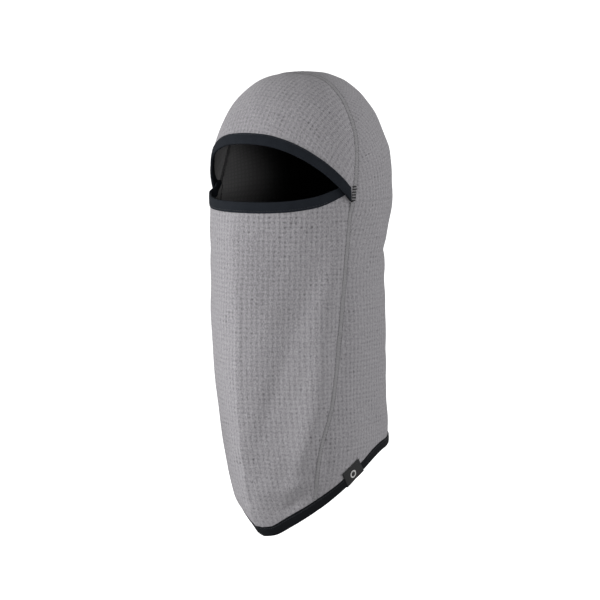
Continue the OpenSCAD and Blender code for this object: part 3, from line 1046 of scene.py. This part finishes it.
mats = {
    "outside": fleece_outside(),
    "inside": fleece_inside(),
    "eye_tape": tape_knit("binding_tape", (0.005, 0.0066, 0.0092), (0.0205, 0.0245, 0.032)),
    "hem_tape": tape_knit("hem_tape", (0.004, 0.0046, 0.006), (0.011, 0.0125, 0.015)),
    "seam_bed": thread("seam_bed", (0.22, 0.216, 0.225), (0.34, 0.334, 0.346), 0.9),
    "seam_cover": thread("seam_cover", (0.27, 0.265, 0.275), (0.44, 0.43, 0.445)),
    "seam_needle": thread("seam_needle", (0.15, 0.147, 0.153), (0.27, 0.266, 0.275)),
    "inner_thread": thread("inner_thread", (0.05, 0.05, 0.052), (0.12, 0.118, 0.122)),
    "tack_thread": thread("tack_thread", (0.02, 0.02, 0.021), (0.06, 0.06, 0.063)),
    "tape_thread": thread("tape_thread", (0.008, 0.010, 0.014), (0.026, 0.03, 0.04)),
    "label": label_weave(),
    "label_mark": thread("label_mark", (0.5, 0.5, 0.5), (0.75, 0.75, 0.74)),
    "satin": satin(),
}

# ---- pieces

cloth = [mats["outside"], mats["inside"]]


def mirrored(patch):
    return lambda t, v: patch(t, v) * np.array([-1, 1, 1])


def add(obj, node, body="hood"):
    """Puts a finished piece on its body, in place of its CAD node."""
    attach(obj, body)
    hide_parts(node)


add(panel("crown_cloth", crown_patch, (240, 150), crown_weave, cloth), "crown_panel")
add(panel("back_cloth_left", back_patch, (150, 345), back_weave, cloth),
    "back_panel_left")
add(panel("back_cloth_right", mirrored(back_patch), (150, 345), back_weave, cloth),
    "back_panel_right")
face = panel("face_cloth", face_patch, (300, 288), face_weave, cloth)

add(tape("brow_tape", brow_patch, EYE_TAPE_W, 220, mats["eye_tape"], fold_in=1.0, edge_in=0.8),
    "brow_binding")
add(tape("nose_tape", nose_patch, EYE_TAPE_W, 220, mats["eye_tape"]),
    "nose_binding", "mask_edge")
add(tape("hem_tape", hem_patch, HEM_TAPE_W, 420, mats["hem_tape"], fold_in=0.2, loop=True),
    "hem_binding")

# The hem's stitches leave out the label and 2 degrees on both sides of it
LABEL_START = (180 + LABEL_PHI - LABEL_TURN - 2) / 360
LABEL_END = (180 + LABEL_PHI + LABEL_TURN + 2) / 360
for edge, patch, body, start, end in (
        ("brow", brow_patch, "hood", 0.01, 0.99), ("nose", nose_patch, "mask_edge", 0.1, 0.9),
        ("hem", hem_patch, "hood", LABEL_END - 1, LABEL_START)):
    add(tape_stitching(edge + "_stitches", patch, mats["tape_thread"], start, end),
        edge + "_binding_stitching", body)

for label, patch, node in (
        ("crown_flat_seam", crown_seam_patch, "crown_seam"),
        ("side_flat_seam_left", side_seam_patch(1), "side_seam_left"),
        ("side_flat_seam_right", side_seam_patch(-1), "side_seam_right"),
        ("centre_back_flat_seam", centre_back_patch, "centre_back_seam")):
    add(flat_seam(label, patch, mats), node)
add(bartack("corner_tack_left", 1, mats), "corner_bartack_left")
add(bartack("corner_tack_right", -1, mats), "corner_bartack_right")


def ring_mark(material):
    """A plain raised ring, woven into the label."""
    around, sides = 40, 8
    q = np.arange(around) / around * 2 * math.pi
    k = np.arange(sides) / sides * 2 * math.pi
    r = 3.1 + 0.75 * np.cos(k)[None]
    middle_t, middle_s = 0.5, 0.72
    t = middle_t + r * np.cos(q)[:, None] / LABEL_L
    s = middle_s + r * np.sin(q)[:, None] / HEM_TAPE_W
    o = FLEECE_O + TAPE_T + 0.62 + 0.12 * np.sin(k)[None] + 0 * r * q[:, None]
    verts, _ = lifted(label_patch, t, s, o)
    index = numbered(verts)
    weave = points(q[:, None] * 2.3, k[None], 0)
    faces = [quads(closed(closed(index, 0), 1))]
    return turned_out(new_mesh("ring", verts, faces, [material], weave=weave))


def hem_label():
    """The label, folded round the hem tape."""
    top = 1 + LABEL_RISE / HEM_TAPE_W
    a = FLEECE_O + TAPE_T + 0.15
    b = a + 0.4
    s = np.linspace(top, 0, 9)
    outer = [(x, b) for x in s]
    turn = [(-0.24 * math.sin(q), b * math.cos(q)) for q in np.linspace(0, math.pi, 9)[1:-1]]
    lower = [(x, -b) for x in s[::-1]]
    edge = [(top + 0.02, -(a + b) / 2)]
    under = [(x, -a) for x in s]
    nook = [(-0.17 * math.sin(q), -a * math.cos(q)) for q in np.linspace(0, math.pi, 7)[1:-1]]
    upper = [(x, a) for x in s[::-1]]
    last = [(top + 0.02, (a + b) / 2)]
    profile = np.array(outer + turn + lower + edge + under + nook + upper + last)
    t = np.linspace(0, 1, 31)
    verts, _ = lifted(label_patch, t[:, None], profile[None, :, 0], profile[None, :, 1])
    index = numbered(verts)
    weave = points(t[:, None] * LABEL_L, profile[None, :, 0] * HEM_TAPE_W, 0)
    faces = [quads(closed(index, 1)), index[:1], index[-1:]]
    label = new_mesh("hem_tag", verts, faces, [mats["label"]], weave=weave)
    return join(turned_out(label), [ring_mark(mats["label_mark"])])


add(hem_label(), "hem_label")


def label_rows():
    """A row of stitches near both ends of the label."""
    groups = []
    for place in (0.06, 0.94):
        def across(t, s, place=place):
            top = 1 + LABEL_RISE / HEM_TAPE_W - 0.08
            return label_patch(place + 0.04 * (s - 0.5), mix(0.05, top, t))
        row = dashes(across, 0.5, FLEECE_O + TAPE_T + 0.6, 2.0, 0.75)
        groups.append((*row, 0.2, 0.8, mats["tape_thread"]))
    return threads("tag_stitches", groups)


add(label_rows(), "hem_label_stitching")


def care_label():
    """A satin ribbon inside the neck, standing a little off the cloth at its free edge."""
    t, s = np.meshgrid(np.linspace(0, 1, 31), np.linspace(0, 1, 25), indexing="ij")
    sheets = []
    for extra in (0.0, 0.25):
        away = FLEECE_O + 0.7 + extra + 2.6 * s**2 + 0.7 * np.sin(5 * t + 2 * s) * s
        sheets.append(lifted(care_patch, t, s, -away)[0])
    top = np.arange(t.size).reshape(t.shape)
    low = top + t.size
    faces = [quads(top), quads(low, flip=True)]
    for a, b in ((top[0], low[0]), (top[-1], low[-1]), (top[:, 0], low[:, 0]),
                 (top[:, -1], low[:, -1])):
        faces.append(quads(np.stack([a, b], 1)))
    weave = np.concatenate([points(t * CARE_L, s * CARE_W, 0).reshape(-1, 3)] * 2)
    verts = np.concatenate([x.reshape(-1, 3) for x in sheets])
    return turned_out(new_mesh("care_ribbon", verts, faces, [mats["satin"]], weave=weave))


add(care_label(), "care_label")

# ---- the face cloth's share of the mask's motion, worked out and left unused


def mask_weights(p):
    """Share of the nose tape's motion that the face cloth would take: all of it inside the tape,
    none of it at the side seams or far below."""
    phi = np.abs(angle_of(p))
    reach = mix(106, 15, ease(12, 68, phi))
    below = nose_line(phi) - HALF_TAPE - p[..., 2]
    return 1 - ease(0, 1, below / reach)


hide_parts("face_panel")
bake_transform(face)
at = np.array([v.co for v in face.data.vertices]) * 1000
mask_weights(at).astype(np.float32)

# ---- flat sizes of the panels, worked out and not kept


def flat_size(patch):
    """Width, length and area of a panel laid flat, in metres."""
    t, v = np.meshgrid(np.linspace(0, 1, 61), np.linspace(0, 1, 61), indexing="ij")
    p = patch(t, v) / 1000
    width = np.linalg.norm(np.diff(p, axis=0), axis=-1).sum(0).max()
    length = np.linalg.norm(np.diff(p, axis=1), axis=-1).sum(1).max()
    sides = np.cross(np.diff(p, axis=0)[:, :-1], np.diff(p, axis=1)[:-1])
    return float(width), float(length), float(np.linalg.norm(sides, axis=-1).sum())


def declare(patch):
    width, length, area = flat_size(patch)


declare(crown_patch)
declare(face_patch)
declare(back_patch)
declare(back_patch)

# ---- stage, light and camera


def add_stage():
    """A pale floor well below the hood and a pale dome round it, for the camera alone."""
    low = min(v.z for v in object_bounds())
    bpy.ops.mesh.primitive_circle_add(vertices=96, radius=11, fill_type="NGON",
                                      location=(0, 0, low - 0.5))
    floor = bpy.context.object
    floor.name = "floor"
    bpy.ops.mesh.primitive_uv_sphere_add(segments=64, ring_count=32, radius=12)
    dome = bpy.context.object
    dome.name = "backdrop"
    for obj in (floor, dome):
        obj.data.materials.append(plain_stage(obj.name, (0.9, 0.9, 0.9), 0.95))
        for ray in ("diffuse", "glossy", "transmission", "shadow"):
            setattr(obj, "visible_" + ray, False)
        obj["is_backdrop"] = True


def add_world():
    """Soft light from everywhere, less from below."""
    world = bpy.data.worlds.new("studio")
    bpy.context.scene.world = world
    world.use_nodes = True
    tree = world.node_tree
    place = tree.nodes.new("ShaderNodeTexCoord")
    split = tree.nodes.new("ShaderNodeSeparateXYZ")
    tree.links.new(place.outputs["Generated"], split.inputs[0])
    ramp = tree.nodes.new("ShaderNodeMapRange")
    tree.links.new(split.outputs[2], ramp.inputs["Value"])
    for name, value in (("From Min", -0.9), ("From Max", 0.5), ("To Min", 0.18), ("To Max", 0.45)):
        ramp.inputs[name].default_value = value
    tree.links.new(ramp.outputs[0], tree.nodes["Background"].inputs["Strength"])
    tree.nodes["Background"].inputs["Color"].default_value = (1, 1, 1, 1)


def area_light(name, place, energy, size):
    data = bpy.data.lights.new(name, "AREA")
    data.energy = energy
    data.size = size
    lamp = bpy.data.objects.new(name, data)
    lamp.location = place
    lamp.rotation_euler = (Vector((0, 0, -0.1)) - Vector(place)).to_track_quat("-Z", "Y").to_euler()
    bpy.context.scene.collection.objects.link(lamp)


def add_camera():
    """Seen from the wearer's front left, slightly from above."""
    azimuth, elevation, distance = math.radians(36), math.radians(6), 2.6
    middle = Vector((0, 0, -0.1))
    back = Vector((math.sin(azimuth) * math.cos(elevation),
                   -math.cos(azimuth) * math.cos(elevation), math.sin(elevation)))
    right = Vector((math.cos(azimuth), math.sin(azimuth), 0))
    aim = middle - right * 0.00095 + back.cross(right) * 0.00246
    data = bpy.data.cameras.new("camera")
    data.lens = 165
    data.sensor_width = 36
    camera = bpy.data.objects.new("camera", data)
    camera.location = middle + back * distance
    camera.rotation_euler = (aim - camera.location).to_track_quat("-Z", "Y").to_euler()
    bpy.context.scene.collection.objects.link(camera)
    bpy.context.scene.camera = camera


add_stage()
add_world()
for lamp_name, place, energy, size in (
        ("key", (-2.5, -0.7, -0.3), 20, 0.8), ("front_left", (-1.2, -2.6, 0.06), 55, 0.35),
        ("right", (2.1, 1.5, 0.05), 22, 0.9), ("front_right", (2.2, -1.7, 0.1), 13, 0.5)):
    area_light(lamp_name, place, energy, size)
add_camera()
bpy.context.scene.view_settings.view_transform = "Standard"
